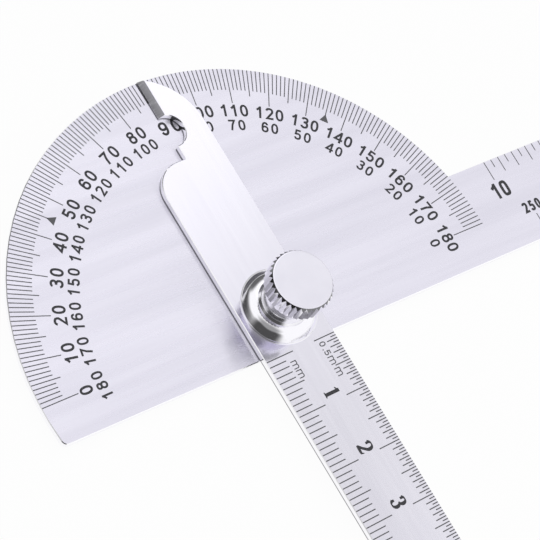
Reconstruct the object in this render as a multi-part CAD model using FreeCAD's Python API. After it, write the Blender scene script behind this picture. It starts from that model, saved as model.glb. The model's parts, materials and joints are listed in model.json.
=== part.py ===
import FreeCAD, Part

import math
import os

# Protractor with a fixed ruler and a swinging ruler arm, clamped by a knurled knob.
# Millimetres. The origin is on the pivot axis, at the underside of the pivot screw's head.
# +Z points out of the graduated face, +X along the fixed ruler, +Y to the 90 degree mark.

# Protractor plate: a half-round head and the fixed ruler, one sheet
PLATE_THICKNESS = 1.2
HEAD_RADIUS = 44.2
RULER_REACH = 305.1
RULER_TOP = 9.9
RULER_BOTTOM = 6.6
PLATE_CORNER_RADIUS = 1.0
PLATE_EDGE_BREAK = 0.12

# Swing arm: one flat strip, with its pointer above the pivot and its ruler below. Its bore stands
# beside its midline, and it rests leaning from the 90 degree mark to the 0 degree side.
ARM_THICKNESS = 1.2
ARM_UNDERSIDE_GAP = 0.02
ARM_WIDTH = 13.9
ARM_BORE_OFFSET = 0.5
ARM_REST_LEAN = 1.15
ARM_REACH = 262.6
ARM_TIP_GAP = 0.1
ARM_END_ARC_RADIUS = 11.0
ARM_CORNER_RADIUS = 1.0
ARM_EDGE_BREAK = 0.12
NOTCH_BELOW_RIM = 10.15
NOTCH_RADIUS = 2.9
SHOULDER_BELOW_NOTCH = 5.4
SHOULDER_RADIUS = 5.0
POINTER_BEVEL_WIDTH = 0.85
POINTER_LAND = 0.25

# Pivot screw: low round head, square neck keyed in the plate, round shank
SCREW_HEAD_RADIUS = 4.5
SCREW_HEAD_THICKNESS = 0.8
SCREW_HEAD_BREAK = 0.25
SCREW_NECK_SIDE = 4.4
SHANK_RADIUS = 2.0
SHANK_LENGTH = 8.9
SHANK_END_CHAMFER = 0.4
SHANK_CLEARANCE = 0.05

# Cup washer: thin lip, domed body, recess below for the spring washer
CUP_LIP_RADIUS = 6.6
CUP_LIP_THICKNESS = 0.26
CUP_LIP_ROUND = 0.08
CUP_DOME_RADIUS = 6.42
CUP_TOP_RADIUS = 4.35
CUP_FOOT_SLOPE = 56.0
CUP_TOP_SLOPE = 14.0
CUP_HEIGHT = 1.9
CUP_HOLE_CLEARANCE = 0.1
RECESS_RADIUS = 4.9
RECESS_DEPTH = 0.9

# Spring washer: a ring bent about one axis, squeezed in the cup's recess
SPRING_THICKNESS = 0.35
SPRING_RIM_GAP = 0.3
SPRING_BORE_CLEARANCE = 0.2
SPRING_SEAT_GAP = 0.02

# Clamp knob: smooth hub with a sloping foot, below a head with a straight knurl between
# a plain collar and a steep break round the face, blind bore for the shank
HUB_RADIUS = 4.0
HUB_FOOT_RADIUS = 4.3
HUB_FOOT_SLOPE = 56.0
HUB_HEIGHT = 4.2
COLLAR_RADIUS = 5.0
COLLAR_HEIGHT = 0.35
COLLAR_BREAK = 0.12
KNURL_HEIGHT = 3.9
KNURL_CREST_RADIUS = 5.42
KNURL_ROOT_RADIUS = 5.06
KNURL_TEETH = 36
KNOB_FACE_RADIUS = 4.98
KNOB_BREAK_SLOPE = 56.0
KNOB_RIM_WIDTH = 0.16
KNOB_RIM_DROP = 0.025
KNOB_BORE_DEPTH = 6.6

# Length by which every cutting solid runs past what it cuts
OVERRUN = 1.0

# Length of each handle of the dome's curve, as a share of the straight distance that it spans
DOME_HANDLE_SHARE = 0.48

# Places along the pointer, counted from the pivot
NOTCH_HEIGHT = HEAD_RADIUS - NOTCH_BELOW_RIM
SHOULDER_HEIGHT = NOTCH_HEIGHT - SHOULDER_BELOW_NOTCH

# Levels up the pivot axis
PLATE_UNDERSIDE = SCREW_HEAD_THICKNESS
PLATE_TOP = PLATE_UNDERSIDE + PLATE_THICKNESS
ARM_UNDERSIDE = PLATE_TOP + ARM_UNDERSIDE_GAP
ARM_TOP = ARM_UNDERSIDE + ARM_THICKNESS
CUP_TOP = ARM_TOP + CUP_HEIGHT
KNURL_UNDERSIDE = CUP_TOP + HUB_HEIGHT
KNOB_TOP = KNURL_UNDERSIDE + KNURL_HEIGHT

Z_AXIS = FreeCAD.Vector(0, 0, 1)


def point(x, y, z=0.0):
    return FreeCAD.Vector(x, y, z)


def line(a, b):
    return Part.LineSegment(a, b).toShape()


def arc(a, middle, b):
    return Part.Arc(a, middle, b).toShape()


def on_circle(centre, radius, degrees):
    # the point of a circle at an angle counted from +X
    angle = math.radians(degrees)
    return centre + point(radius * math.cos(angle), radius * math.sin(angle))


def slab(edges, bottom, thickness):
    # a flat sheet of the closed outline, standing on the given level
    face = Part.Face(Part.Wire(edges))
    face.translate(point(0, 0, bottom))
    return face.extrude(point(0, 0, thickness))


def turned(edges):
    # a solid of revolution about the pivot axis, from a closed outline in the XZ plane
    return Part.Face(Part.Wire(edges)).revolve(point(0, 0, 0), Z_AXIS, 360)


def closed_loop(points):
    return [line(a, b) for a, b in zip(points, points[1:] + points[:1])]


def pivot_cylinder(radius, bottom, top):
    return Part.makeCylinder(radius, top - bottom, point(0, 0, bottom), Z_AXIS)


def break_outline_edges(solid, levels, size, skip=None):
    # small chamfer round the outline at the given levels, except where skip says so
    chosen = []
    for edge in solid.Edges:
        box = edge.BoundBox
        if skip is not None and skip(box):
            continue
        for level in levels:
            if abs(box.ZMin - level) < size / 10 and abs(box.ZMax - level) < size / 10:
                chosen.append(edge)
    return solid.makeChamfer(size, chosen)


def square_prism(side, bottom, top):
    corner = point(-side / 2, -side / 2, bottom)
    return Part.makeBox(side, side, top - bottom, corner)


def protractor_plate():
    # the head's circle is centred on the pivot and cut off along the ruler's lower edge
    corner = PLATE_CORNER_RADIUS
    centre = point(0, 0)
    # a small circle rounds the lower left corner: it touches the rim and the lower edge inside
    small_y = corner - RULER_BOTTOM
    small_x = -math.sqrt((HEAD_RADIUS - corner) ** 2 - small_y ** 2)
    small_centre = point(small_x, small_y)
    touch_degrees = math.degrees(math.atan2(small_y, small_x)) % 360
    rim_end = on_circle(centre, HEAD_RADIUS, touch_degrees)
    corner_bottom = point(small_x, -RULER_BOTTOM)
    corner_middle = on_circle(small_centre, corner, (touch_degrees + 270) / 2)
    rim_start_degrees = math.degrees(math.asin(RULER_TOP / HEAD_RADIUS))
    rim_start = on_circle(centre, HEAD_RADIUS, rim_start_degrees)
    rim_middle = on_circle(centre, HEAD_RADIUS, (rim_start_degrees + touch_degrees) / 2)
    tip = RULER_REACH
    low_centre = point(tip - corner, corner - RULER_BOTTOM)
    high_centre = point(tip - corner, RULER_TOP - corner)
    edges = [
        arc(rim_start, rim_middle, rim_end),
        arc(rim_end, corner_middle, corner_bottom),
        line(corner_bottom, point(tip - corner, -RULER_BOTTOM)),
        arc(point(tip - corner, -RULER_BOTTOM), on_circle(low_centre, corner, 315),
            point(tip, corner - RULER_BOTTOM)),
        line(point(tip, corner - RULER_BOTTOM), point(tip, RULER_TOP - corner)),
        arc(point(tip, RULER_TOP - corner), on_circle(high_centre, corner, 45),
            point(tip - corner, RULER_TOP)),
        line(point(tip - corner, RULER_TOP), rim_start),
    ]
    plate = slab(edges, PLATE_UNDERSIDE, PLATE_THICKNESS)
    plate = break_outline_edges(plate, [PLATE_UNDERSIDE, PLATE_TOP], PLATE_EDGE_BREAK)
    keyway = square_prism(SCREW_NECK_SIDE, PLATE_UNDERSIDE - OVERRUN, PLATE_TOP + OVERRUN)
    return plate.cut(keyway)


def swing_arm():
    half = ARM_WIDTH / 2
    corner = ARM_CORNER_RADIUS
    tip = HEAD_RADIUS - ARM_TIP_GAP
    # the rounded outer end is tangent to the right side and ends at the pointer's tip
    end_centre_x = half - ARM_END_ARC_RADIUS
    end_centre = point(end_centre_x, tip - math.sqrt(ARM_END_ARC_RADIUS ** 2 - end_centre_x ** 2))
    tip_degrees = math.degrees(math.acos(-end_centre_x / ARM_END_ARC_RADIUS))
    shoulder_centre = point(SHOULDER_RADIUS - half, SHOULDER_HEIGHT - SHOULDER_RADIUS)
    notch_centre = point(0, NOTCH_HEIGHT)
    foot = -ARM_REACH
    edges = [
        arc(point(0, tip), on_circle(end_centre, ARM_END_ARC_RADIUS, tip_degrees / 2),
            point(half, end_centre.y)),
        line(point(half, end_centre.y), point(half, foot + corner)),
        arc(point(half, foot + corner), on_circle(point(half - corner, foot + corner), corner, 315),
            point(half - corner, foot)),
        line(point(half - corner, foot), point(corner - half, foot)),
        arc(point(corner - half, foot), on_circle(point(corner - half, foot + corner), corner, 225),
            point(-half, foot + corner)),
        line(point(-half, foot + corner), point(-half, shoulder_centre.y)),
        arc(point(-half, shoulder_centre.y), on_circle(shoulder_centre, SHOULDER_RADIUS, 135),
            point(shoulder_centre.x, SHOULDER_HEIGHT)),
        line(point(shoulder_centre.x, SHOULDER_HEIGHT), point(0, SHOULDER_HEIGHT)),
        line(point(0, SHOULDER_HEIGHT), point(0, NOTCH_HEIGHT - NOTCH_RADIUS)),
        arc(point(0, NOTCH_HEIGHT - NOTCH_RADIUS), on_circle(notch_centre, NOTCH_RADIUS, 0),
            point(0, NOTCH_HEIGHT + NOTCH_RADIUS)),
        line(point(0, NOTCH_HEIGHT + NOTCH_RADIUS), point(0, tip)),
    ]
    arm = slab(edges, ARM_UNDERSIDE, ARM_THICKNESS)

    def is_pointer_edge(box):
        return box.YMin > NOTCH_HEIGHT and box.XMax < POINTER_BEVEL_WIDTH

    arm = break_outline_edges(arm, [ARM_TOP], ARM_EDGE_BREAK, is_pointer_edge)
    arm = arm.cut(pointer_bevel_cutter())
    arm.translate(point(-ARM_BORE_OFFSET, 0))
    bore = pivot_cylinder(SHANK_RADIUS + SHANK_CLEARANCE, ARM_UNDERSIDE - OVERRUN, ARM_TOP + OVERRUN)
    arm = arm.cut(bore)
    arm.rotate(point(0, 0), Z_AXIS, ARM_REST_LEAN)
    return arm


def pointer_bevel_cutter():
    # a wedge along the pointer's reading edge, which leaves a thin upright land at its foot
    rise = (ARM_THICKNESS - POINTER_LAND) / POINTER_BEVEL_WIDTH
    low = point(-OVERRUN, 0, ARM_UNDERSIDE + POINTER_LAND - OVERRUN * rise)
    high = point(POINTER_BEVEL_WIDTH + OVERRUN, 0, ARM_TOP + OVERRUN * rise)
    corner = point(-OVERRUN, 0, high.z)
    face = Part.Face(Part.Wire(closed_loop([low, high, corner])))
    start = NOTCH_HEIGHT
    face.translate(point(0, start, 0))
    return face.extrude(point(0, HEAD_RADIUS + OVERRUN - start, 0))


def pivot_screw():
    head = pivot_cylinder(SCREW_HEAD_RADIUS, 0, SCREW_HEAD_THICKNESS)
    head = break_outline_edges(head, [0], SCREW_HEAD_BREAK)
    neck = square_prism(SCREW_NECK_SIDE, PLATE_UNDERSIDE, PLATE_TOP)
    shank = pivot_cylinder(SHANK_RADIUS, PLATE_TOP, PLATE_TOP + SHANK_LENGTH)
    shank = break_outline_edges(shank, [PLATE_TOP + SHANK_LENGTH], SHANK_END_CHAMFER)
    return head.fuse(neck).fuse(shank)


def inward_and_up(slope_degrees):
    slope = math.radians(slope_degrees)
    return point(-math.cos(slope), 0, math.sin(slope))


def cup_washer():
    lip_top = ARM_TOP + CUP_LIP_THICKNESS
    lip_inner = CUP_LIP_RADIUS - CUP_LIP_ROUND
    foot = point(CUP_DOME_RADIUS, 0, lip_top)
    crown = point(CUP_TOP_RADIUS, 0, CUP_TOP)
    handle = DOME_HANDLE_SHARE * foot.distanceToPoint(crown)
    dome = Part.BezierCurve()
    dome.setPoles([
        foot,
        foot + inward_and_up(CUP_FOOT_SLOPE) * handle,
        crown - inward_and_up(CUP_TOP_SLOPE) * handle,
        crown,
    ])
    edges = [
        line(point(0, 0, ARM_TOP), point(CUP_LIP_RADIUS, 0, ARM_TOP)),
        line(point(CUP_LIP_RADIUS, 0, ARM_TOP), point(CUP_LIP_RADIUS, 0, lip_top - CUP_LIP_ROUND)),
        line(point(CUP_LIP_RADIUS, 0, lip_top - CUP_LIP_ROUND), point(lip_inner, 0, lip_top)),
        line(point(lip_inner, 0, lip_top), foot),
        dome.toShape(),
        line(crown, point(0, 0, CUP_TOP)),
        line(point(0, 0, CUP_TOP), point(0, 0, ARM_TOP)),
    ]
    hole_radius = SHANK_RADIUS + CUP_HOLE_CLEARANCE
    hole = pivot_cylinder(hole_radius, ARM_TOP - OVERRUN, CUP_TOP + OVERRUN)
    recess = pivot_cylinder(RECESS_RADIUS, ARM_TOP - OVERRUN, ARM_TOP + RECESS_DEPTH)
    return turned(edges).cut(hole).cut(recess)


def spring_washer():
    # a shell of a large cylinder lying along X, cut to a ring: its two sides rest on the arm
    outer = RECESS_RADIUS - SPRING_RIM_GAP
    inner = SHANK_RADIUS + SPRING_BORE_CLEARANCE
    free_height = RECESS_DEPTH - 2 * SPRING_SEAT_GAP
    rise = free_height - SPRING_THICKNESS
    bend = (outer ** 2 + rise ** 2) / (2 * rise)
    top = ARM_TOP + RECESS_DEPTH - SPRING_SEAT_GAP
    axis_height = top - SPRING_THICKNESS - bend
    start = point(-CUP_LIP_RADIUS, 0, axis_height)
    x_axis = point(1, 0, 0)
    span = 2 * CUP_LIP_RADIUS
    skin = Part.makeCylinder(bend + SPRING_THICKNESS, span, start, x_axis)
    core = Part.makeCylinder(bend, span + 2 * OVERRUN, start - x_axis * OVERRUN, x_axis)
    ring = pivot_cylinder(outer, ARM_TOP, CUP_TOP).cut(pivot_cylinder(inner, PLATE_TOP, KNOB_TOP))
    return skin.cut(core).common(ring)


def knurled_ring(bottom, top):
    # straight V teeth: crests and roots alternate round the circle
    step = 360 / KNURL_TEETH
    points = []
    for tooth in range(KNURL_TEETH):
        points.append(on_circle(point(0, 0), KNURL_CREST_RADIUS, tooth * step))
        points.append(on_circle(point(0, 0), KNURL_ROOT_RADIUS, (tooth + 1 / 2) * step))
    return slab(closed_loop(points), bottom, top - bottom)


def climb(run, slope_degrees):
    # the height gained over a level run at a slope
    return run * math.tan(math.radians(slope_degrees))


def clamp_knob():
    crest_break = KNURL_CREST_RADIUS - KNOB_FACE_RADIUS
    rim_level = KNOB_TOP - KNOB_RIM_DROP
    knurl_foot = KNURL_UNDERSIDE + COLLAR_HEIGHT
    envelope = turned(closed_loop([
        point(0, 0, KNURL_UNDERSIDE),
        point(COLLAR_RADIUS - COLLAR_BREAK, 0, KNURL_UNDERSIDE),
        point(COLLAR_RADIUS, 0, KNURL_UNDERSIDE + COLLAR_BREAK),
        point(COLLAR_RADIUS, 0, knurl_foot),
        point(KNURL_CREST_RADIUS, 0, knurl_foot + KNURL_CREST_RADIUS - COLLAR_RADIUS),
        point(KNURL_CREST_RADIUS, 0, rim_level - climb(crest_break, KNOB_BREAK_SLOPE)),
        point(KNOB_FACE_RADIUS, 0, rim_level),
        point(KNOB_FACE_RADIUS - KNOB_RIM_WIDTH, 0, KNOB_TOP),
        point(0, 0, KNOB_TOP),
    ]))
    head = knurled_ring(KNURL_UNDERSIDE, KNOB_TOP).common(envelope)
    foot_height = climb(HUB_FOOT_RADIUS - HUB_RADIUS, HUB_FOOT_SLOPE)
    hub = turned(closed_loop([
        point(0, 0, CUP_TOP),
        point(HUB_FOOT_RADIUS, 0, CUP_TOP),
        point(HUB_RADIUS, 0, CUP_TOP + foot_height),
        point(HUB_RADIUS, 0, KNURL_UNDERSIDE),
        point(0, 0, KNURL_UNDERSIDE),
    ]))
    bore_radius = SHANK_RADIUS + SHANK_CLEARANCE
    bore = pivot_cylinder(bore_radius, CUP_TOP - OVERRUN, CUP_TOP + KNOB_BORE_DEPTH)
    return head.fuse(hub).cut(bore)


PIECES = {
    "protractor_plate": protractor_plate,
    "swing_arm": swing_arm,
    "pivot_screw": pivot_screw,
    "cup_washer": cup_washer,
    "spring_washer": spring_washer,
    "clamp_knob": clamp_knob,
}


def main():
    os.makedirs("parts", exist_ok=True)
    for name, make in PIECES.items():
        shape = make().removeSplitter()
        box = shape.BoundBox
        print(f"{name}: {len(shape.Solids)} solid, valid {shape.isValid()}, volume {shape.Volume:.2f}, "
              f"z {box.ZMin:.2f} to {box.ZMax:.2f}")
        shape.exportStep(f"parts/{name}.step")


main()
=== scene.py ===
import json
import math

import bpy
from mathutils import Matrix, Vector

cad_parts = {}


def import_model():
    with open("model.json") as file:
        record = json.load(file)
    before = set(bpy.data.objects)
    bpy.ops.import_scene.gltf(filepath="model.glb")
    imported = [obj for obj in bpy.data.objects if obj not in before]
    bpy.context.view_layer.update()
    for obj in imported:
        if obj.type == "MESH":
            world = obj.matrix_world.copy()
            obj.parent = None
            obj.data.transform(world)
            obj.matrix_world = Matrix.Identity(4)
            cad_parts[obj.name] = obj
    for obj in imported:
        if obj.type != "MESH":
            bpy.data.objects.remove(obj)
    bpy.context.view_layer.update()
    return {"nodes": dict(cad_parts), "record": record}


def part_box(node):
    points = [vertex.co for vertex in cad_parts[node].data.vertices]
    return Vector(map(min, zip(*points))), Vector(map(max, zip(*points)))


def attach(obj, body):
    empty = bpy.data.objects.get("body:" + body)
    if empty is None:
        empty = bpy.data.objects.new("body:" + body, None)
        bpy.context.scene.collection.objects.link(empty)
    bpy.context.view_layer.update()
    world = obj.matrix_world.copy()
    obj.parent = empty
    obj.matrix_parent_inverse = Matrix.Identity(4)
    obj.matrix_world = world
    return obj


# Protractor with a fixed ruler and a swinging ruler arm: its marks, finishes, light and camera.
# Marks are laid out in millimetres, in the model's own frame, and turned to metres in their mesh.
# The arm's marks are laid out along its midline and then moved to where the arm rests.

MM = 0.001
INCH = 25.4

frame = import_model()

# Faces and edges that the marks follow, read from the frame
plate_low, plate_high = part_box("protractor_plate")
arm_low, arm_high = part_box("swing_arm")
knob_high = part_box("clamp_knob")[1]
arm_swing = next(j for j in frame["record"]["behaviour"]["joints"] if j["name"] == "arm_swing")
PLATE_TOP = plate_high.z / MM
ARM_TOP = arm_high.z / MM
HEAD_RADIUS = -plate_low.x / MM
RULER_REACH = plate_high.x / MM
RULER_BOTTOM = plate_low.y / MM
ARM_REST_LEAN = 90 - arm_swing["range_deg"][1]

# Sizes of the part that no box tells; marks end where the edges are broken
ARM_BORE_OFFSET = 0.5
ARM_HALF_WIDTH = 6.95
RULER_TOP = 9.9
EDGE_BREAK = 0.12

# Marks: how far the ink stands above its face and reaches below it, and how much higher each
# further stroke of a digit stands, so that no two tops share a level
INK_RISE = 0.008
INK_SINK = 0.01
INK_STEP = 0.0006
TICK_WIDTH = 0.165
ARM_TICK_WIDTH = 0.18

# A form of plain digits, such as DEGREE_DIGITS, holds their width and their stroke as shares of
# their height, and how square their bows are

# Degree scale: where each kind of tick ends inside, and the two rows of numbers
DEGREE_TICK_END = {1: 40.1, 5: 39.06, 10: 37.6}
OUTER_ROW_FOOT = 35.07
OUTER_ROW_HEIGHT = 2.24
OUTER_ROW_ADVANCE = {1: 1.95, 2: 1.95, 3: 1.8}
INNER_ROW_FOOT = 32.48
INNER_ROW_HEIGHT = 1.97
INNER_ROW_ADVANCE = {1: 1.72, 2: 1.72, 3: 1.76}
INNER_ROW_SHIFT = {10: 0.25, 20: 0.6, 30: 0.2}
LONG_NUMBER_SHIFT = -0.27
SINGLE_NUMBER = 90
SINGLE_NUMBER_FOOT = 33.85
SINGLE_NUMBER_HEIGHT = 2.5
SINGLE_NUMBER_ADVANCE = 2.36
DEGREE_DIGITS = (0.63, 0.175, 2.3)
TRIANGLE_DEGREES = (45, 135)
TRIANGLE_APEX = 39.35
TRIANGLE_FOOT = 37.86
TRIANGLE_HALF_WIDTH = 0.82

# Fixed ruler: tick lengths from the edges, and the places of the numbers
INCH_TICK_LENGTH = {1: 1.6, 2: 2.9, 8: 3.3, 16: 3.7}
INCH_NUMBER_FOOT = 2.7
INCH_NUMBER_HEIGHT = 2.95
INCH_NUMBER_ADVANCE = 2.05
INCH_DIGITS = (0.56, 0.19, 3.6)
RULER_INCHES = 10
RULER_TICK_LENGTH = {1: 2.7, 5: 3.6, 10: 4.5}
RULER_NUMBER_FOOT = -1.5
RULER_NUMBER_HEIGHT = 2.0
RULER_NUMBER_ADVANCE = 1.42
RULER_DIGITS = (0.53, 0.215, 2.8)
RULER_MILLIMETRES = 250

# Swing arm: zero of both scales below the pivot, tick lengths and numbers
ARM_ZERO = 7.4
ARM_MILLIMETRES = 250
ARM_TICK_LENGTH = {1: 3.35, 5: 4.4, 10: 5.35}
ARM_FINE_TICK_LENGTH = {1: 1.2, 2: 2.2, 10: 3.15, 20: 4.25}
ARM_NUMBER_FOOT = -0.8
ARM_NUMBER_HEIGHT = 2.8
ARM_NUMBER_ADVANCE = 1.9
ARM_NUMBER_WIDTH = 0.62
ARM_NUMBER_BEFORE_TICK = 0.45

# Unit letters of the arm: where each text starts and stands; then each letter's form and height,
# and how far it lies along the text
UNIT_HEIGHT = 1.08
UNIT_STROKE = 0.17 / UNIT_HEIGHT
UNIT_DIGITS = (0.7, UNIT_STROKE, 2.3)
UNIT_POINT = (0.3, UNIT_STROKE, 2.3)
UNIT_LETTERS = (1.32, UNIT_STROKE, 2.3)
MM_TEXT_START = 8.85
MM_TEXT_FOOT = -3.1
MM_TEXT = (
    ("m", UNIT_LETTERS, UNIT_HEIGHT, 0.0),
    ("m", UNIT_LETTERS, UNIT_HEIGHT, 1.66),
)
HALF_MM_TEXT_START = 8.0
HALF_MM_TEXT_FOOT = 3.2
HALF_MM_TEXT = (
    ("0", UNIT_DIGITS, 1.15, 0.0),
    (".", UNIT_POINT, 1.15, 1.15),
    ("5", UNIT_DIGITS, 1.15, 1.6),
    ("m", UNIT_LETTERS, UNIT_HEIGHT, 2.7),
    ("m", UNIT_LETTERS, UNIT_HEIGHT, 4.8),
)

# Steels: their tones, how fine their lines and patches are, how far these show, and how upright
# the normal of a broad face is
STEEL_DARK = (0.73, 0.715, 0.811)
STEEL_LIGHT = (0.84, 0.823, 0.922)
ARM_DARK = (0.80, 0.785, 0.87)
ARM_LIGHT = (0.87, 0.856, 0.935)
CUT_EDGE = (0.96, 0.955, 0.98)
KNOB_DARK = (0.79, 0.777, 0.86)
KNOB_LIGHT = (0.84, 0.825, 0.905)
CHROME = (0.894, 0.887, 0.928)
SPRING_DARK = (0.5, 0.5, 0.53)
SPRING_LIGHT = (0.62, 0.62, 0.65)
SPRING_SIDE = (0.6, 0.6, 0.63)
EVEN_GRAIN = (900, 900, 900)
EVEN_CLOUD = (200, 200, 200)
NOISE_SPAN = (0.3, 0.7)
PATCH_SPAN = (0.35, 0.65)
LINE_SHARE = 0.45
ROUGHNESS_SPREAD = 0.15
BUMP_DISTANCE = 0.02
FACE_SLOPE = (0.8, 0.96)

# Painted shade on the arm's cut edge, standing in for the contact shadow against the plate: dark from
# its foot up to one height and clean from the next
FOOT_SHADE = (0.2, 0.2, 0.21)
FOOT_SHADE_HEIGHT = 0.14
FOOT_SHADE_FADED = 0.3

# Bevel of the pointer: its tones and grain, the slopes that mark it, and where it starts
GROUND_DARK = (0.2, 0.197, 0.215)
GROUND_LIGHT = (0.5, 0.495, 0.53)
GROUND_ROUGHNESS = 0.35
GROUND_GRAIN = (500, 4500, 500)
BEVEL_SIDEWAYS = (-0.4, -0.6)
BEVEL_UPWARD = (0.3, 0.5)
BEVEL_START = 36.8

# Painted shade on the break of the knob's rim, standing in for its shadow and dark reflection: how low
# it is looked for, and between which slopes
BREAK_SHADE = (0.2, 0.2, 0.21)
BREAK_HEIGHT = 1.0
BREAK_STEEPEST = (0.3, 0.45)
BREAK_FLATTEST = (0.8, 0.7)

# Inks
TICK_DARK = (0.09, 0.09, 0.10)
TICK_LIGHT = (0.13, 0.13, 0.14)
NUMBER_DARK = (0.024, 0.024, 0.03)
NUMBER_LIGHT = (0.04, 0.04, 0.047)
INK_GRAIN = (9000, 9000, 9000)
INK_ROUGHNESS = 0.55

# Floor: half its width in metres, its level, its tone, and the share of plain white in it
FLOOR_HALF = 4.0
FLOOR_LEVEL = -0.02
FLOOR_WHITE = 0.95
FLOOR_GLOW = 0.95

# The studio: its level, and its bright and dark sides, each a heading and a height in degrees,
# how far it reaches with full strength, how far until it fades, and its own level
STUDIO_LEVEL = 0.8
STUDIO_SIDES = (
    (120, 55, 32, 50, 1.07),
    (305, 30, 38, 56, 1.07),
    (135, -50, 54, 88, 0.07),
    (75, 18, 16, 32, 0.14),
    (217, 20, 26, 46, 0.08),
    (222, 62, 12, 30, 0.35),
    (10, 86, 4, 14, 1.1),
    (50, 53, 8, 20, 1.26),
    (8, 45, 6, 14, 0.98),
)

# The camera, fitted to the marks of the scales
CAMERA_PLACE = Vector((-184.72, -74.35, 298.75)) * MM
CAMERA_AIM = Vector((2.74, 6.47, 2.0)) * MM
CAMERA_ROLL = math.radians(40.12)
CAMERA_LENS = 150.27


# Strokes of letters, in a box one unit high

def bow(cx, cy, rx, ry, start, end, square=2.0, steps=18):
    # a stretch of an oval from one angle to another; square above 2 flattens its sides
    points = []
    for k in range(steps + 1):
        angle = math.radians(start + (end - start) * k / steps)
        c = math.cos(angle)
        s = math.sin(angle)
        x = math.copysign(abs(c) ** (2 / square), c)
        y = math.copysign(abs(s) ** (2 / square), s)
        points.append((cx + rx * x, cy + ry * y))
    return points


def half_turn(strokes, width):
    # the same strokes upside down, as a 6 makes a 9
    return [([(width - x, 1 - y) for x, y in path], *rest) for path, *rest in strokes]


def sans_strokes(symbol, width, stroke, square):
    """Centre lines of a plain digit of even stroke, each with whether it closes on itself."""
    left = stroke / 2
    right = width - left
    low = stroke / 2
    high = 1 - low
    cx = width / 2
    reach = cx - left
    if symbol == "0":
        return [(bow(cx, 0.5, reach, 0.5 - low, 0, 360, square, 36)[:-1], True)]
    if symbol == "1":
        stem = width * 0.5 + 0.07
        return [([(stem, 0), (stem, 1)], False),
                ([(stem, 0.93), (stem - 0.09, 0.81), (stem - 0.27, 0.68)], False)]
    if symbol == "2":
        top = bow(cx, 0.7, reach, high - 0.7, 172, -38, square)
        return [(top + [(left + 0.04, low), (width, low)], False)]
    if symbol == "3":
        upper = bow(cx, 0.735, reach * 0.9, high - 0.735, 168, -90, square)
        lower = bow(cx, 0.31, reach, 0.31 - low, 90, -168, square)
        return [(upper, False), ([(cx - 0.08, 0.54), (cx, 0.54)] + lower, False)]
    if symbol == "4":
        stem = width * 0.76
        return [([(stem, 0), (stem, 1)], False),
                ([(stem - 0.02, high), (left * 0.6, 0.29), (width * 1.08, 0.29)], False)]
    if symbol == "5":
        bowl = bow(cx, 0.335, reach, 0.335 - low, 128, -165, square)
        return [([(right, high), (left + 0.06, high), (left + 0.02, 0.47)], False), (bowl, False)]
    if symbol == "6":
        loop = bow(cx, 0.325, reach, 0.325 - low, 0, 360, square, 36)[:-1]
        tail = bow(cx, 0.5, reach, high - 0.5, 180, 28, square)
        return [(loop, True), ([(left, 0.33)] + tail, False)]
    if symbol == "7":
        return [([(0, high), (right, high), (cx + 0.02, 0.5), (cx - 0.09, 0)], False)]
    if symbol == "8":
        upper = bow(cx, 0.74, reach * 0.88, high - 0.74, 0, 360, square, 32)[:-1]
        lower = bow(cx, 0.32, reach, 0.32 - low, 0, 360, square, 32)[:-1]
        return [(upper, True), (lower, True)]
    if symbol == "9":
        return half_turn(sans_strokes("6", width, stroke, square), width)
    if symbol == ".":
        return [([(cx, 0), (cx, stroke * 1.2)], False)]
    # the letter m: a stem and two arches
    arch = (width - stroke) / 2
    strokes = [([(left, 0), (left, 1)], False)]
    for start in (left, left + arch):
        shoulder = bow(start + arch / 2, 0.62, arch / 2, high - 0.62, 165, 0, 2.6, 10)
        strokes.append((shoulder + [(start + arch, 0)], False))
    return strokes


def pen_widths(path, thin, thick, closed):
    # a broad pen: upright stretches are thick, level ones thin
    widths = []
    count = len(path)
    for k in range(count):
        before = path[k - 1] if closed or k > 0 else path[k]
        after = path[(k + 1) % count] if closed or k < count - 1 else path[k]
        run = Vector((after[0] - before[0], after[1] - before[1]))
        upright = abs(run.y) / max(run.length, 1e-9)
        widths.append(thin + (thick - thin) * upright ** 1.6)
    return widths


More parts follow.
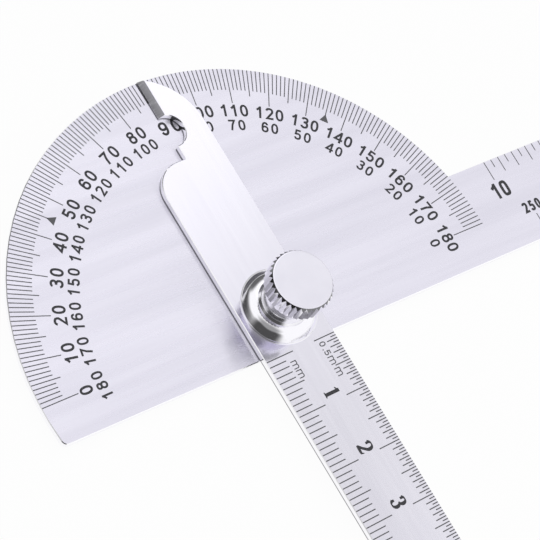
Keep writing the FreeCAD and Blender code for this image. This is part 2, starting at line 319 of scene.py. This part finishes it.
def serif_strokes(symbol, width):
    """Strokes of a bold digit with serifs: centre line, width at each point, closed or not."""
    thin = 0.08
    thick = 0.215
    left = 0.09
    right = width - left
    cx = width / 2
    reach = cx - left

    def pen(path, closed=False):
        return path, pen_widths(path, thin, thick, closed), closed

    def even(path, size):
        return path, [size] * len(path), False

    def ball(x, y):
        return even([(x, y - 0.075), (x, y - 0.05), (x, y + 0.05), (x, y + 0.075)], 0.15)

    if symbol == "0":
        return [pen(bow(cx, 0.5, reach, 0.465, 0, 360, 2.1, 36)[:-1], True)]
    if symbol == "1":
        return [even([(cx, 0), (cx, 1)], thick),
                even([(cx - 0.19, 0.03), (cx + 0.19, 0.03)], 0.06),
                ([(cx - 0.16, 0.05), (cx, 0.12), (cx + 0.16, 0.05)], [0.01, 0.1, 0.01], False),
                ([(cx - 0.23, 0.8), (cx, 0.92)], [0.05, 0.15], False)]
    if symbol == "2":
        top = bow(cx, 0.7, reach, 0.265, 165, -30, 2.1)
        slope = top + [(cx, 0.3), (left, 0.09)]
        foot = [(left - 0.05, 0.075), (cx, 0.09), (right + 0.02, 0.085)]
        return [pen(slope), (foot, [0.1, 0.18, 0.15], False), ball(left + 0.05, 0.72),
                ([(right + 0.01, 0.05), (right + 0.08, 0.26)], [0.12, 0.04], False)]
    if symbol == "3":
        upper = bow(cx, 0.74, reach * 0.86, 0.225, 160, -90)
        lower = bow(cx - 0.01, 0.285, reach, 0.25, 90, -160)
        return [pen(upper), pen(lower), ball(left + 0.08, 0.78), ball(left + 0.03, 0.22)]
    if symbol == "4":
        stem = width * 0.68
        return [even([(stem, 0), (stem, 1)], thick),
                even([(stem, 0.95), (left - 0.02, 0.3)], thin),
                even([(left - 0.06, 0.28), (width, 0.28)], 0.09),
                even([(stem - 0.19, 0.025), (stem + 0.19, 0.025)], 0.05)]
    if symbol == "5":
        bowl = bow(cx - 0.02, 0.32, reach, 0.285, 130, -160)
        return [pen(bowl), even([(left + 0.02, 0.9), (right, 0.93)], 0.14),
                even([(left + 0.03, 0.95), (left + 0.03, 0.5)], thin), ball(left + 0.03, 0.22)]
    if symbol == "6":
        loop = bow(cx, 0.31, reach, 0.275, 0, 360, 2.0, 36)[:-1]
        tail = bow(cx + 0.03, 0.45, reach + 0.03, 0.515, 190, 60)
        return [pen(loop, True), pen(tail), ball(right - 0.05, 0.83)]
    if symbol == "7":
        return [even([(left - 0.05, 0.92), (right + 0.05, 0.92)], 0.14),
                ([(right, 0.9), (cx, 0.45), (cx - 0.05, 0)], [0.07, 0.15, 0.21], False),
                ([(left - 0.04, 0.98), (left - 0.05, 0.74)], [0.08, 0.04], False)]
    if symbol == "8":
        upper = bow(cx, 0.75, reach * 0.84, 0.215, 0, 360, 2.0, 32)[:-1]
        lower = bow(cx, 0.29, reach, 0.255, 0, 360, 2.0, 32)[:-1]
        return [pen(upper, True), pen(lower, True)]
    # the 9
    return half_turn(serif_strokes("6", width), width)


# Ink meshes

class InkSheet:
    """Closed strips of ink that stand a hair above one flat face, gathered in one mesh."""

    def __init__(self, level):
        self.level = level
        self.vertices = []
        self.faces = []

    def strip(self, path, widths, closed=False, lift=0.0):
        # a ribbon along the path with mitred corners, as a closed solid
        count = len(path)
        points = [Vector(p) for p in path]
        base = len(self.vertices)
        low = self.level - INK_SINK
        high = self.level + INK_RISE + lift
        for k in range(count):
            before = points[k] - points[k - 1] if closed or k > 0 else None
            after = points[(k + 1) % count] - points[k] if closed or k < count - 1 else None
            ways = [way.normalized() for way in (before, after) if way is not None]
            along = sum(ways, Vector((0, 0)))
            along = along.normalized() if along.length > 1e-6 else ways[0]
            side = Vector((-along.y, along.x))
            square_side = Vector((-ways[0].y, ways[0].x))
            half = widths[k] / 2 / max(side.dot(square_side), 0.5)
            for z in (low, high):
                for offset in (side * half, side * -half):
                    p = points[k] + offset
                    self.vertices.append((p.x * MM, p.y * MM, z * MM))
        rounds = count if closed else count - 1
        for k in range(rounds):
            a = base + 4 * k
            b = base + 4 * ((k + 1) % count)
            self.faces.append((a + 3, b + 3, b + 2, a + 2))
            self.faces.append((a, b, b + 1, a + 1))
            self.faces.append((a, a + 2, b + 2, b))
            self.faces.append((a + 1, b + 1, b + 3, a + 3))
        if not closed:
            end = base + 4 * (count - 1)
            self.faces.append((base, base + 1, base + 3, base + 2))
            self.faces.append((end, end + 2, end + 3, end + 1))

    def tick(self, start, end, width=TICK_WIDTH):
        self.strip([start, end], [width, width])

    def prism(self, outline):
        # a filled patch of ink, its outline anticlockwise
        base = len(self.vertices)
        count = len(outline)
        for z in (self.level - INK_SINK, self.level + INK_RISE):
            self.vertices += [(x * MM, y * MM, z * MM) for x, y in outline]
        self.faces.append(tuple(range(base + count, base + 2 * count)))
        self.faces.append(tuple(reversed(range(base, base + count))))
        for k in range(count):
            n = (k + 1) % count
            self.faces.append((base + k, base + n, base + count + n, base + count + k))

    def make(self, name, body, material, place=None):
        # the sheet's own plane is the model's, or is laid on a piece that stands aside or turned
        mesh = bpy.data.meshes.new(name)
        mesh.from_pydata(self.vertices, [], self.faces)
        if place:
            mesh.transform(place)
        mesh.materials.append(material)
        piece = bpy.data.objects.new(name, mesh)
        bpy.context.scene.collection.objects.link(piece)
        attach(piece, body)
        return piece


def placer(x, y, turn_degrees):
    # maps a point of a text's own plane to the sheet
    c = math.cos(math.radians(turn_degrees))
    s = math.sin(math.radians(turn_degrees))
    return lambda u, v: (x + u * c - v * s, y + u * s + v * c)


def write_symbol(sheet, symbol, place, height, form, start=0.0):
    # one plain digit or letter, its box beginning at start on the place's level line
    width, stroke, square = form
    for n, (path, closed) in enumerate(sans_strokes(symbol, width, stroke, square)):
        points = [place(start + u * height, v * height) for u, v in path]
        sheet.strip(points, [stroke * height] * len(points), closed, n * INK_STEP)


def write_sans(sheet, text, place, height, advance, form):
    # text in plain digits, centred on the place, its foot on the place's level line
    start = -(len(text) - 1) / 2 * advance - form[0] * height / 2
    for k, symbol in enumerate(text):
        write_symbol(sheet, symbol, place, height, form, start + k * advance)


def write_serif(sheet, text, place, height, advance, width):
    # text in bold serif digits that ends at the place
    for k, symbol in enumerate(text):
        x = (k - len(text)) * advance + (advance - width * height)
        for n, (path, widths, closed) in enumerate(serif_strokes(symbol, width)):
            points = [place(x + u * height, v * height) for u, v in path]
            sheet.strip(points, [w * height for w in widths], closed, n * INK_STEP)


def degree_point(radius, degrees):
    angle = math.radians(degrees)
    return (-radius * math.cos(angle), radius * math.sin(angle))


def tick_kind(count, lengths):
    # the coarsest division of the scale that this tick belongs to
    return lengths[max(step for step in lengths if count % step == 0)]


def degree_scale(material):
    sheet = InkSheet(PLATE_TOP)
    rim = HEAD_RADIUS - EDGE_BREAK
    for degrees in range(181):
        end = tick_kind(degrees, DEGREE_TICK_END)
        sheet.tick(degree_point(rim, degrees), degree_point(end, degrees))
    for degrees in TRIANGLE_DEGREES:
        apex = degree_point(TRIANGLE_APEX, degrees)
        place = placer(*degree_point(TRIANGLE_FOOT, degrees), 90 - degrees)
        sheet.prism([place(-TRIANGLE_HALF_WIDTH, 0), place(TRIANGLE_HALF_WIDTH, 0), apex])
    return sheet.make("degree_scale", "root", material)


def degree_numbers(material):
    sheet = InkSheet(PLATE_TOP)

    def write(text, degrees, foot, height, advance, shift=0.0):
        beside = degrees + math.degrees(shift / foot)
        place = placer(*degree_point(foot, beside), 90 - beside)
        write_sans(sheet, text, place, height, advance, DEGREE_DIGITS)

    for degrees in range(0, 181, 10):
        if degrees == SINGLE_NUMBER:
            write(str(degrees), degrees, SINGLE_NUMBER_FOOT, SINGLE_NUMBER_HEIGHT, SINGLE_NUMBER_ADVANCE)
            continue
        outer = str(degrees)
        inner = str(180 - degrees)
        shift = LONG_NUMBER_SHIFT if len(inner) == 3 else INNER_ROW_SHIFT.get(180 - degrees, 0.0)
        write(outer, degrees, OUTER_ROW_FOOT, OUTER_ROW_HEIGHT, OUTER_ROW_ADVANCE[len(outer)])
        write(inner, degrees, INNER_ROW_FOOT, INNER_ROW_HEIGHT, INNER_ROW_ADVANCE[len(inner)], shift)
    return sheet.make("degree_numbers", "root", material)


def ruler_scales(material):
    sheet = InkSheet(PLATE_TOP)
    top = RULER_TOP - EDGE_BREAK
    for sixteenth in range(1, 16 * RULER_INCHES + 1):
        x = RULER_REACH - sixteenth * INCH / 16
        length = tick_kind(sixteenth, INCH_TICK_LENGTH)
        sheet.tick((x, top), (x, RULER_TOP - length))
    bottom = RULER_BOTTOM + EDGE_BREAK
    for millimetre in range(1, RULER_MILLIMETRES + 1):
        x = RULER_REACH - millimetre
        length = tick_kind(millimetre, RULER_TICK_LENGTH)
        sheet.tick((x, bottom), (x, RULER_BOTTOM + length))
    return sheet.make("ruler_scales", "root", material)


def ruler_numbers(material):
    sheet = InkSheet(PLATE_TOP)
    for inch in range(1, RULER_INCHES + 1):
        place = placer(RULER_REACH - inch * INCH, INCH_NUMBER_FOOT, 0)
        write_sans(sheet, str(inch), place, INCH_NUMBER_HEIGHT, INCH_NUMBER_ADVANCE, INCH_DIGITS)
    for millimetre in range(10, RULER_MILLIMETRES + 1, 10):
        place = placer(RULER_REACH - millimetre, RULER_NUMBER_FOOT, 0)
        write_sans(sheet, str(millimetre), place, RULER_NUMBER_HEIGHT, RULER_NUMBER_ADVANCE,
                   RULER_DIGITS)
    return sheet.make("ruler_numbers", "root", material)


def on_arm():
    # from the arm's midline to where the arm rests
    aside = Matrix.Translation((-ARM_BORE_OFFSET * MM, 0, 0))
    return Matrix.Rotation(math.radians(ARM_REST_LEAN), 4, "Z") @ aside


def arm_scales(material):
    sheet = InkSheet(ARM_TOP)
    edge = ARM_HALF_WIDTH - EDGE_BREAK
    for millimetre in range(ARM_MILLIMETRES + 1):
        y = -ARM_ZERO - millimetre
        length = tick_kind(millimetre, ARM_TICK_LENGTH)
        sheet.tick((-edge, y), (length - ARM_HALF_WIDTH, y), ARM_TICK_WIDTH)
    for half_millimetre in range(2 * ARM_MILLIMETRES + 1):
        y = -ARM_ZERO - half_millimetre / 2
        length = tick_kind(half_millimetre, ARM_FINE_TICK_LENGTH)
        sheet.tick((edge, y), (ARM_HALF_WIDTH - length, y), ARM_TICK_WIDTH)
    return sheet.make("arm_scales", "arm", material, on_arm())


def arm_numbers(material):
    sheet = InkSheet(ARM_TOP)
    for centimetre in range(1, ARM_MILLIMETRES // 10 + 1):
        y = -ARM_ZERO - 10 * centimetre + ARM_NUMBER_BEFORE_TICK
        place = placer(ARM_NUMBER_FOOT, y, -90)
        write_serif(sheet, str(centimetre), place, ARM_NUMBER_HEIGHT, ARM_NUMBER_ADVANCE,
                    ARM_NUMBER_WIDTH)
    return sheet.make("arm_numbers", "arm", material, on_arm())


def arm_units(material):
    # "mm" beside the coarse scale and "0.5mm" beside the fine one, reading away from the pivot
    sheet = InkSheet(ARM_TOP)
    texts = (
        (MM_TEXT_START, MM_TEXT_FOOT, MM_TEXT),
        (HALF_MM_TEXT_START, HALF_MM_TEXT_FOOT, HALF_MM_TEXT),
    )
    for start, foot, text in texts:
        for symbol, form, height, along in text:
            place = placer(foot, -start - along, -90)
            write_symbol(sheet, symbol, place, height, form)
    return sheet.make("arm_unit_letters", "arm", material, on_arm())


# Materials

def new_material(name):
    material = bpy.data.materials.new(name)
    material.use_nodes = True
    tree = material.node_tree
    tree.nodes.clear()
    output = tree.nodes.new("ShaderNodeOutputMaterial")
    shader = tree.nodes.new("ShaderNodeBsdfPrincipled")
    tree.links.new(shader.outputs["BSDF"], output.inputs["Surface"])
    return material, tree, shader


def find_node(tree, kind):
    return next(node for node in tree.nodes if node.bl_idname == kind)


def feed(tree, socket, value):
    # another node's output is linked to the socket; a colour or a number is set on it
    if isinstance(value, bpy.types.NodeSocket):
        tree.links.new(value, socket)
    elif isinstance(value, tuple):
        socket.default_value = (*value, 1)
    else:
        socket.default_value = value


def calculate(tree, operation, *values):
    node = tree.nodes.new("ShaderNodeMath")
    node.operation = operation
    for socket, value in zip(node.inputs, values):
        feed(tree, socket, value)
    return node.outputs["Value"]


def product(tree, factors):
    result = factors[0]
    for factor in factors[1:]:
        result = calculate(tree, "MULTIPLY", result, factor)
    return result


def map_range(tree, value, low, high, to_low, to_high, kind="LINEAR"):
    node = tree.nodes.new("ShaderNodeMapRange")
    node.interpolation_type = kind
    numbers = {"From Min": low, "From Max": high, "To Min": to_low, "To Max": to_high}
    for name, number in numbers.items():
        node.inputs[name].default_value = number
    tree.links.new(value, node.inputs["Value"])
    return node.outputs["Result"]


def ramp(tree, value, start, full, kind="LINEAR"):
    # from 0 at the start to 1 at full, which may lie below the start
    return map_range(tree, value, start, full, 0.0, 1.0, kind)


def mix(tree, kind, share, first, second):
    node = tree.nodes.new("ShaderNodeMix")
    node.data_type = kind
    for name, value in (("Factor", share), ("A", first), ("B", second)):
        feed(tree, node.inputs[name], value)
    return node.outputs["Result"]


def mix_values(tree, share, first, second):
    return mix(tree, "FLOAT", share, first, second)


def mix_colours(tree, share, first, second):
    return mix(tree, "RGBA", share, first, second)


def stretched_noise(tree, scales, detail=3.0, roughness=0.5):
    # noise in the model's own metres, stretched by a scale for each axis
    place = tree.nodes.new("ShaderNodeTexCoord")
    stretch = tree.nodes.new("ShaderNodeMapping")
    stretch.inputs["Scale"].default_value = scales
    noise = tree.nodes.new("ShaderNodeTexNoise")
    noise.inputs["Scale"].default_value = 1.0
    noise.inputs["Detail"].default_value = detail
    noise.inputs["Roughness"].default_value = roughness
    tree.links.new(place.outputs["Object"], stretch.inputs["Vector"])
    tree.links.new(stretch.outputs["Vector"], noise.inputs["Vector"])
    return noise.outputs["Fac"]


def add_bump(tree, shader, height, strength):
    bump = tree.nodes.new("ShaderNodeBump")
    bump.inputs["Strength"].default_value = strength
    bump.inputs["Distance"].default_value = BUMP_DISTANCE * MM
    tree.links.new(height, bump.inputs["Height"])
    tree.links.new(bump.outputs["Normal"], shader.inputs["Normal"])


def across_lines(tree, shader, across, strength):
    # reflections spread across the brush lines, which turn with the piece
    way = tree.nodes.new("ShaderNodeCombineXYZ")
    for socket, share in zip(way.inputs, across):
        socket.default_value = share
    turn = tree.nodes.new("ShaderNodeVectorTransform")
    turn.vector_type = "VECTOR"
    turn.convert_from = "OBJECT"
    turn.convert_to = "WORLD"
    tree.links.new(way.outputs["Vector"], turn.inputs["Vector"])
    tree.links.new(turn.outputs["Vector"], shader.inputs["Tangent"])
    shader.inputs["Anisotropic"].default_value = strength


def split(tree, name):
    # X, Y and Z of the surface's own normal, or of its place in the model
    place = tree.nodes.new("ShaderNodeTexCoord")
    parts = tree.nodes.new("ShaderNodeSeparateXYZ")
    tree.links.new(place.outputs[name], parts.inputs["Vector"])
    return parts.outputs


def facing_up(tree):
    # how far the surface is one of the sheet's broad faces, not a cut edge or a side
    upright = calculate(tree, "ABSOLUTE", split(tree, "Normal")["Z"])
    return ramp(tree, upright, *FACE_SLOPE)


def brushed_steel(name, dark, light, roughness, grain, cloud, bump, side, side_roughness,
                  across=None, spread=0.0):
    """Steel with fine lines along one axis and soft broad patches, and smoother, paler sides."""
    material, tree, shader = new_material(name)
    shader.inputs["Metallic"].default_value = 1.0
    if across:
        across_lines(tree, shader, across, spread)
    lines = stretched_noise(tree, grain, detail=5.0, roughness=0.55)
    patches = stretched_noise(tree, cloud, detail=2.0, roughness=0.5)
    line_tone = ramp(tree, lines, *NOISE_SPAN)
    patch_tone = ramp(tree, patches, *PATCH_SPAN)
    brushed = mix_colours(tree, mix_values(tree, LINE_SHARE, patch_tone, line_tone), dark, light)
    smoothest = roughness * (1 - ROUGHNESS_SPREAD)
    roughest = roughness * (1 + ROUGHNESS_SPREAD)
    rough = map_range(tree, lines, *NOISE_SPAN, smoothest, roughest)
    face = facing_up(tree)
    tree.links.new(mix_colours(tree, face, side, brushed), shader.inputs["Base Color"])
    tree.links.new(mix_values(tree, face, side_roughness, rough), shader.inputs["Roughness"])
    add_bump(tree, shader, lines, bump)
    return material


def lay_over(tree, share, name, value):
    # where the share is full, the value takes the place of what the shader's socket had
    socket = find_node(tree, "ShaderNodeBsdfPrincipled").inputs[name]
    kind = "RGBA" if name == "Base Color" else "FLOAT"
    tree.links.new(mix(tree, kind, share, socket.links[0].from_socket, value), socket)


def darken_foot(material, foot):
    """Painted shade: the lower part of a sheet's cut edge is darkened, standing in for the contact
    shadow where it rests on the plate.
    """
    tree = material.node_tree
    low = ramp(tree, split(tree, "Object")["Z"], (foot + FOOT_SHADE_FADED) * MM, (foot + FOOT_SHADE_HEIGHT) * MM)
    cut = ramp(tree, facing_up(tree), 1.0, 0.0)
    lay_over(tree, product(tree, [low, cut]), "Base Color", FOOT_SHADE)


def grind_bevel(material):
    """The pointer's bevel is ground: darker and duller, with marks across its edge."""
    tree = material.node_tree
    normal = split(tree, "Normal")
    place = split(tree, "Object")
    ground = product(tree, [
        ramp(tree, normal["X"], *BEVEL_SIDEWAYS),
        ramp(tree, normal["Z"], *BEVEL_UPWARD),
        ramp(tree, place["Y"], BEVEL_START * MM, (BEVEL_START + EDGE_BREAK) * MM),
    ])
    marks = ramp(tree, stretched_noise(tree, GROUND_GRAIN, detail=3.0, roughness=0.6), *NOISE_SPAN)
    height = ramp(tree, place["Z"], PLATE_TOP * MM, ARM_TOP * MM)
    tone = mix_colours(tree, mix_values(tree, marks, height, marks), GROUND_DARK, GROUND_LIGHT)
    lay_over(tree, ground, "Base Color", tone)
    lay_over(tree, ground, "Roughness", GROUND_ROUGHNESS)


def darken_break(material, top):
    """Painted shade: the steep break between the knurl and the face is darkened, standing in for the
    shadow and dark reflection there.
    """
    tree = material.node_tree
    upward = split(tree, "Normal")["Z"]
    foot = top - BREAK_HEIGHT
    painted_shade = product(tree, [
        ramp(tree, upward, *BREAK_STEEPEST),
        ramp(tree, upward, *BREAK_FLATTEST),
        ramp(tree, split(tree, "Object")["Z"], foot * MM, (foot + EDGE_BREAK) * MM),
    ])
    lay_over(tree, painted_shade, "Base Color", BREAK_SHADE)


def ink(name, dark, light):
    material, tree, shader = new_material(name)
    share = ramp(tree, stretched_noise(tree, INK_GRAIN), *NOISE_SPAN)
    tree.links.new(mix_colours(tree, share, dark, light), shader.inputs["Base Color"])
    shader.inputs["Roughness"].default_value = INK_ROUGHNESS
    return material


plate_steel = brushed_steel("plate_steel", STEEL_DARK, STEEL_LIGHT, roughness=0.28,
                            grain=(60, 1100, 1100), cloud=(16, 330, 330), bump=0.14,
                            side=CUT_EDGE, side_roughness=0.12, across=(0, 1, 0), spread=0.9)
arm_steel = brushed_steel("arm_steel", ARM_DARK, ARM_LIGHT, roughness=0.13,
                          grain=(1300, 70, 1300), cloud=(90, 25, 90), bump=0.08,
                          side=CUT_EDGE, side_roughness=0.07, across=(1, 0, 0), spread=0.7)
# painted shade: the foot of the arm's cut edge is darkened for its contact shadow on the plate
darken_foot(arm_steel, arm_low.z / MM)
grind_bevel(arm_steel)
knob_steel = brushed_steel("knob_steel", KNOB_DARK, KNOB_LIGHT, roughness=0.22,
                           grain=(500, 500, 300), cloud=EVEN_CLOUD, bump=0.05,
                           side=CHROME, side_roughness=0.11)
# painted shade and dark reflection on the break of the knob's rim
darken_break(knob_steel, knob_high.z / MM)
washer_chrome = brushed_steel("washer_chrome", CHROME, CHROME, roughness=0.11,
                              grain=(400, 400, 2500), cloud=EVEN_CLOUD, bump=0.02,
                              side=CHROME, side_roughness=0.11)
screw_steel = brushed_steel("screw_steel", STEEL_DARK, STEEL_LIGHT, roughness=0.25,
                            grain=EVEN_GRAIN, cloud=EVEN_CLOUD, bump=0.1,
                            side=CUT_EDGE, side_roughness=0.2)
spring_steel = brushed_steel("spring_steel", SPRING_DARK, SPRING_LIGHT, roughness=0.2,
                             grain=EVEN_GRAIN, cloud=EVEN_CLOUD, bump=0.1,
                             side=SPRING_SIDE, side_roughness=0.15)
tick_ink = ink("tick_ink", TICK_DARK, TICK_LIGHT)
number_ink = ink("number_ink", NUMBER_DARK, NUMBER_LIGHT)

finishes = {
    "protractor_plate": plate_steel,
    "swing_arm": arm_steel,
    "clamp_knob": knob_steel,
    "cup_washer": washer_chrome,
    "pivot_screw": screw_steel,
    "spring_washer": spring_steel,
}
for node, finish in finishes.items():
    mesh = frame["nodes"][node].data
    mesh.materials.clear()
    mesh.materials.append(finish)

degree_scale(tick_ink)
degree_numbers(number_ink)
ruler_scales(tick_ink)
ruler_numbers(number_ink)
arm_scales(tick_ink)
arm_numbers(number_ink)
arm_units(tick_ink)


# Floor, light and camera

def floor():
    # white where a camera or a polished face sees it, but a little of its shadow shows through
    material, tree, shader = new_material("floor_white")
    shader.inputs["Base Color"].default_value = (FLOOR_WHITE, FLOOR_WHITE, FLOOR_WHITE, 1)
    shader.inputs["Roughness"].default_value = 1.0
    shader.inputs["Specular IOR Level"].default_value = 0.0
    path = tree.nodes.new("ShaderNodeLightPath")
    seen = calculate(tree, "MAXIMUM", path.outputs["Is Camera Ray"], path.outputs["Is Glossy Ray"])
    glow = tree.nodes.new("ShaderNodeEmission")
    glow.inputs["Color"].default_value = (1, 1, 1, 1)
    blend = tree.nodes.new("ShaderNodeMixShader")
    tree.links.new(calculate(tree, "MULTIPLY", seen, FLOOR_GLOW), blend.inputs["Fac"])
    tree.links.new(shader.outputs["BSDF"], blend.inputs[1])
    tree.links.new(glow.outputs["Emission"], blend.inputs[2])
    output = find_node(tree, "ShaderNodeOutputMaterial")
    tree.links.new(blend.outputs["Shader"], output.inputs["Surface"])
    half = FLOOR_HALF
    level = FLOOR_LEVEL * MM
    corners = [(-half, -half, level), (half, -half, level), (half, half, level), (-half, half, level)]
    plane = bpy.data.meshes.new("floor")
    plane.from_pydata(corners, [], [(0, 1, 2, 3)])
    plane.materials.append(material)
    piece = bpy.data.objects.new("floor", plane)
    bpy.context.scene.collection.objects.link(piece)


def heading_vector(heading, height):
    way = math.radians(heading)
    rise = math.radians(height)
    return Vector((math.cos(rise) * math.cos(way), math.cos(rise) * math.sin(way), math.sin(rise)))


def world():
    # a studio of soft bright and dark sides, and plain white where the camera sees it
    sky = bpy.data.worlds.new("studio")
    bpy.context.scene.world = sky
    sky.use_nodes = True
    tree = sky.node_tree
    tree.nodes.clear()
    output = tree.nodes.new("ShaderNodeOutputWorld")
    background = tree.nodes.new("ShaderNodeBackground")
    place = tree.nodes.new("ShaderNodeTexCoord")
    level = STUDIO_LEVEL
    for heading, height, full, faded, side_level in STUDIO_SIDES:
        toward = tree.nodes.new("ShaderNodeVectorMath")
        toward.operation = "DOT_PRODUCT"
        toward.inputs[1].default_value = heading_vector(heading, height)
        tree.links.new(place.outputs["Generated"], toward.inputs[0])
        limits = [math.cos(math.radians(angle)) for angle in (faded, full)]
        share = ramp(tree, toward.outputs["Value"], *limits, "SMOOTHSTEP")
        level = mix_values(tree, share, level, side_level)
    path = tree.nodes.new("ShaderNodeLightPath")
    seen = mix_values(tree, path.outputs["Is Camera Ray"], level, 1.0)
    tree.links.new(seen, background.inputs["Color"])
    tree.links.new(background.outputs["Background"], output.inputs["Surface"])


def camera():
    data = bpy.data.cameras.new("camera")
    data.lens = CAMERA_LENS
    data.sensor_width = 36.0
    data.clip_start = 0.01
    data.clip_end = 100.0
    eye = bpy.data.objects.new("camera", data)
    ahead = (CAMERA_AIM - CAMERA_PLACE).normalized()
    level_right = ahead.cross(Vector((0, 0, 1))).normalized()
    level_up = level_right.cross(ahead)
    right = level_right * math.cos(CAMERA_ROLL) + level_up * math.sin(CAMERA_ROLL)
    up = level_up * math.cos(CAMERA_ROLL) - level_right * math.sin(CAMERA_ROLL)
    turn = Matrix((right, up, -ahead)).transposed()
    eye.matrix_world = Matrix.Translation(CAMERA_PLACE) @ turn.to_4x4()
    bpy.context.scene.collection.objects.link(eye)
    bpy.context.scene.camera = eye


floor()
world()
camera()
bpy.context.scene.view_settings.view_transform = "Standard"
